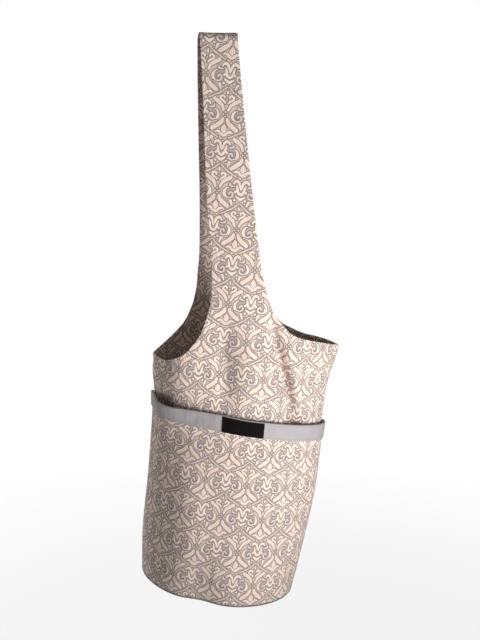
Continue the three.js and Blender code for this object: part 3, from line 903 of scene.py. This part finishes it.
# The rim follows the outside of the walls at the base, and rings lie at shares of the way out to it: over the
# upper face, round the edge and back under the lower face, each with its drop below the walls.
base_section = section_at(np.array(BASE_LEVEL))
base_axis = np.array([np.sin(base_section["roll"]), 0, np.cos(base_section["roll"])])
base_centre = np.array([base_section["across"], 0, BASE_LEVEL])
edge_level = np.full(across_front.shape, BASE_LEVEL)
front_reach = pocket_offset(edge_level, across_front) + CLOTH / 2
front_rim = panel_middle(FRONT, edge_level, across_front)
front_rim = front_rim + panel_outward(FRONT, edge_level, across_front) * front_reach[:, None]
back_rim = panel_middle(BACK, edge_level, across_front)
back_rim = back_rim + panel_outward(BACK, edge_level, across_front) * CLOTH / 2
rim = np.concatenate([front_rim, back_rim[::-1][1:-1]]) - base_centre
rim = rim - (rim @ base_axis)[:, None] * base_axis
drop = BASE_SAG * np.interp(RING_PLACES, SAG_PLACES, SAG_SHARES)
turn = np.linspace(0, np.pi, BASE_EDGE_POINTS + 2)[1:-1]
edge_place = RING_PLACES[-1] + (1 - RING_PLACES[-1]) * np.sin(turn)
upper = np.stack([RING_PLACES, SEAM_GAP + drop], axis=1)
round_edge = np.stack([edge_place, SEAM_GAP + BASE_WALL / 2 * (1 - np.cos(turn))], axis=1)
lower = np.stack([RING_PLACES, SEAM_GAP + BASE_WALL + drop], axis=1)[::-1]
rings = np.concatenate([upper[1:], round_edge, lower[:-1]])
points = rim[None] * rings[:, :1, None] - rings[:, 1:, None] * base_axis + base_centre
count = len(rim)
here = np.arange(count)
ahead = (here + 1) % count
ring = np.arange(len(rings) - 1)[:, None] * count
faces = np.stack([ring + here, ring + count + here, ring + count + ahead, ring + ahead], axis=-1)
top = base_centre - base_axis * (SEAM_GAP + BASE_SAG)
bottom = base_centre - base_axis * (SEAM_GAP + BASE_WALL + BASE_SAG)
points = np.concatenate([points.reshape(-1, 3), [top, bottom]])
last = (len(rings) - 1) * count
fans = np.stack([here, ahead, np.full(count, len(points) - 2)], axis=-1).tolist()
fans += np.stack([last + ahead, last + here, np.full(count, len(points) - 1)], axis=-1).tolist()
base_cloth = piece("base_cloth", points, faces.reshape(-1, 4).tolist() + fans, plain_cotton())
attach(base_cloth, "root")
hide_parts("base")

# Floor, light and camera
# A pale round of studio floor well below the hanging bag, fading into the white room, a soft light low on the
# right and turned up, weak ones overhead and behind on the left, and the camera at the photograph's angle.
FLOOR_LEVEL = -1.05
FLOOR_RADIUS = 1.5
FLOOR_SIDES = 64
FLOOR_STRENGTH = 0.15
FLOOR_FADE = 0.55 * FLOOR_RADIUS
FLOOR_COLOUR = (0.86, 0.86, 0.86, 1)
ROOM_LIGHT = 0.18
CAMERA_PLACE = (-0.07702, -1.22325, -0.21242)
CAMERA_AIM = (0.030, 0, -0.385)
turn = np.arange(FLOOR_SIDES) * FULL_TURN / FLOOR_SIDES
floor_points = np.stack([np.cos(turn), np.sin(turn), np.zeros(FLOOR_SIDES)], axis=1) * FLOOR_RADIUS
floor_material, shader, tree = new_material("pale_floor")
place = Value(tree).node("ShaderNodeTexCoord", {}, {}, "Object")
reach = place.vector("DISTANCE", place, (0, 0, FLOOR_LEVEL), output=1)
fade = FLOOR_STRENGTH * ((FLOOR_RADIUS - reach) / FLOOR_FADE).clamped()
fill_sockets(tree, shader, {"Base Color": FLOOR_COLOUR, "Roughness": 1, "Alpha": fade})
floor = piece("floor", floor_points + (0, 0, FLOOR_LEVEL), [list(range(FLOOR_SIDES))], floor_material)


def put_facing(made, place, aim):
    """Links a light or camera into the scene at a place, turned to its aim."""
    made.location = place
    made.rotation_euler = (Vector(aim) - Vector(place)).to_track_quat("-Z", "Y").to_euler()
    bpy.context.scene.collection.objects.link(made)


def softbox(name, place, aim, size, power, beam=180):
    """A square area light at a place, turned to its aim, with a beam of so many degrees."""
    light = bpy.data.lights.new(name, "AREA")
    light.size = size
    light.energy = power
    light.spread = np.radians(beam)
    made = bpy.data.objects.new(name, light)
    made.visible_camera = False
    put_facing(made, place, aim)


softbox("key", place=(0.58, -0.86, -0.72), aim=(-0.06, 0, -0.15), size=0.5, power=4.45, beam=88)
softbox("overhead", place=(0.2, -0.2, 1.6), aim=(0.2, 0.2, -1.0), size=1.6, power=2.8)
softbox("fill", place=(-1.4, 0.8, -0.3), aim=(0, 0, -0.45), size=1.0, power=12)

# The room is white where the camera sees it, and dimmer as a light.
world = bpy.data.worlds.new("studio")
world.use_nodes = True
tree = world.node_tree
seen = Value(tree).node("ShaderNodeLightPath", {}, {}, "Is Camera Ray")
room = seen * (1 - ROOM_LIGHT) + ROOM_LIGHT
fill_sockets(tree, tree.nodes["Background"], {"Color": (1, 1, 1, 1), "Strength": room})
bpy.context.scene.world = world
bpy.context.scene.view_settings.view_transform = "Standard"

camera = bpy.data.cameras.new("camera")
camera.lens = 50
camera.sensor_width = 36
camera_object = bpy.data.objects.new("camera", camera)
put_facing(camera_object, CAMERA_PLACE, CAMERA_AIM)
bpy.context.scene.camera = camera_object
